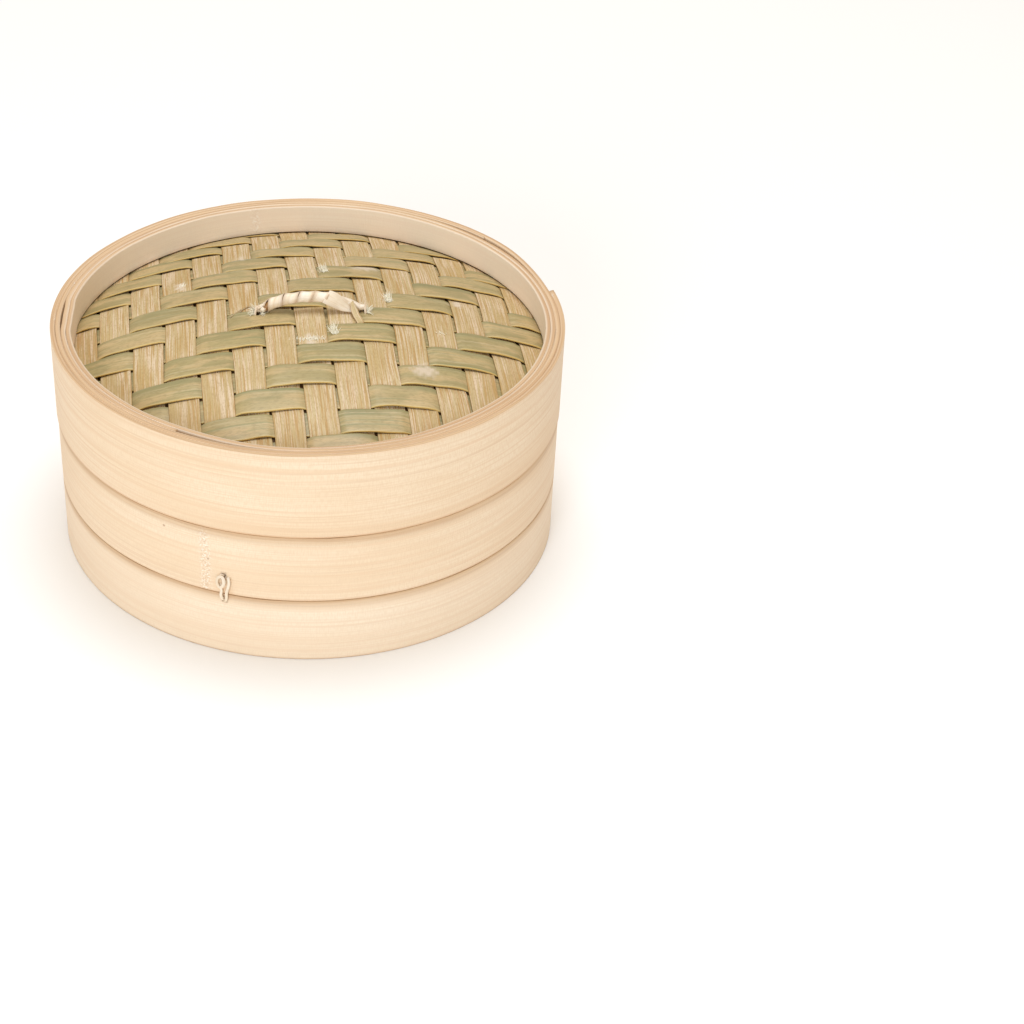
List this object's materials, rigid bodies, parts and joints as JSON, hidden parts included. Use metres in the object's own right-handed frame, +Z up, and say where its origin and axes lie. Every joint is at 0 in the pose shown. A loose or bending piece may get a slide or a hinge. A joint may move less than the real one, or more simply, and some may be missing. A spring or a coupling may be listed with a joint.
{
  "type": "bamboo steamer basket",
  "caption": "Round bamboo steamer: a tier with a slatted floor under a lid with a recessed, domed, twill-woven top and a small cane handle.",
  "frame": {"origin": "centre of the tier's foot, on the table", "axes": "+Z up along the axis of the hoops, +X along the lid's handle to within a few degrees, -Y towards the front"},
  "size_m": [0.2496, 0.2496, 0.1301],
  "materials": {
    "hoop_bamboo": "planed pale bamboo strip, fine grain round the hoop, satin",
    "floor_bamboo": "split bamboo slats and bars, straight grain, unvarnished",
    "warp_bamboo": "inner bamboo strands, cream, fibrous and matt",
    "weft_bamboo": "outer-skin bamboo strands, green tan, smooth with a dull shine",
    "mat_bamboo": "thin split bamboo strips woven into a mat",
    "dry_leaf": "dried bamboo leaf sheet, matt",
    "cane": "split rattan cane, pale with a slight shine"
  },
  "bodies": {
    "tier": {"tier_foot_band": "hoop_bamboo", "tier_body_band": "hoop_bamboo", "tier_liner_hoop": "hoop_bamboo", "tier_foot_ring": "hoop_bamboo", "floor_bar_left": "floor_bamboo", "floor_bar_right": "floor_bamboo", "floor_slat_01": "floor_bamboo", "floor_slat_02": "floor_bamboo", "floor_slat_03": "floor_bamboo", "floor_slat_04": "floor_bamboo", "floor_slat_05": "floor_bamboo", "floor_slat_06": "floor_bamboo", "floor_slat_07": "floor_bamboo", "floor_slat_08": "floor_bamboo", "floor_slat_09": "floor_bamboo", "floor_slat_10": "floor_bamboo", "floor_slat_11": "floor_bamboo", "wall_tie_1": "cane", "wall_tie_2": "cane", "wall_tie_3": "cane"},
    "lid": {"lid_outer_hoop": "hoop_bamboo", "lid_press_ring": "hoop_bamboo", "lid_lower_ring": "hoop_bamboo", "lid_lining_leaf": "dry_leaf", "lid_undermat": "mat_bamboo", "handle_lashing_left": "cane", "handle_lashing_right": "cane", "weave_warp_01": "warp_bamboo", "weave_warp_02": "warp_bamboo", "weave_warp_03": "warp_bamboo", "weave_warp_04": "warp_bamboo", "weave_warp_05": "warp_bamboo", "weave_warp_06": "warp_bamboo", "weave_warp_07": "warp_bamboo", "weave_warp_08": "warp_bamboo", "weave_warp_09": "warp_bamboo", "weave_warp_10": "warp_bamboo", "weave_warp_11": "warp_bamboo", "weave_warp_12": "warp_bamboo", "weave_warp_13": "warp_bamboo", "weave_warp_14": "warp_bamboo", "weave_warp_15": "warp_bamboo", "weave_weft_01": "weft_bamboo", "weave_weft_02": "weft_bamboo", "weave_weft_03": "weft_bamboo", "weave_weft_04": "weft_bamboo", "weave_weft_05": "weft_bamboo", "weave_weft_06": "weft_bamboo", "weave_weft_07": "weft_bamboo", "weave_weft_08": "weft_bamboo", "weave_weft_09": "weft_bamboo", "weave_weft_10": "weft_bamboo", "weave_weft_11": "weft_bamboo", "weave_weft_12": "weft_bamboo", "weave_weft_13": "weft_bamboo", "weave_weft_14": "weft_bamboo", "weave_weft_15": "weft_bamboo", "weave_weft_16": "weft_bamboo"},
    "handle": {"handle_core": "cane", "handle_wrap": "cane"}
  },
  "joints": [
    {"name": "lid_lift", "type": "slide", "parent": "tier", "child": "lid", "axis": [0, 0, 1], "range_m": [0, 0.12]},
    {"name": "handle_tilt", "type": "hinge", "parent": "lid", "child": "handle", "pos_m": [0.00027, -0.00339, 0.12115], "axis": [0.999, 0.0436, 0], "range_deg": [-25, 25]}
  ]
}
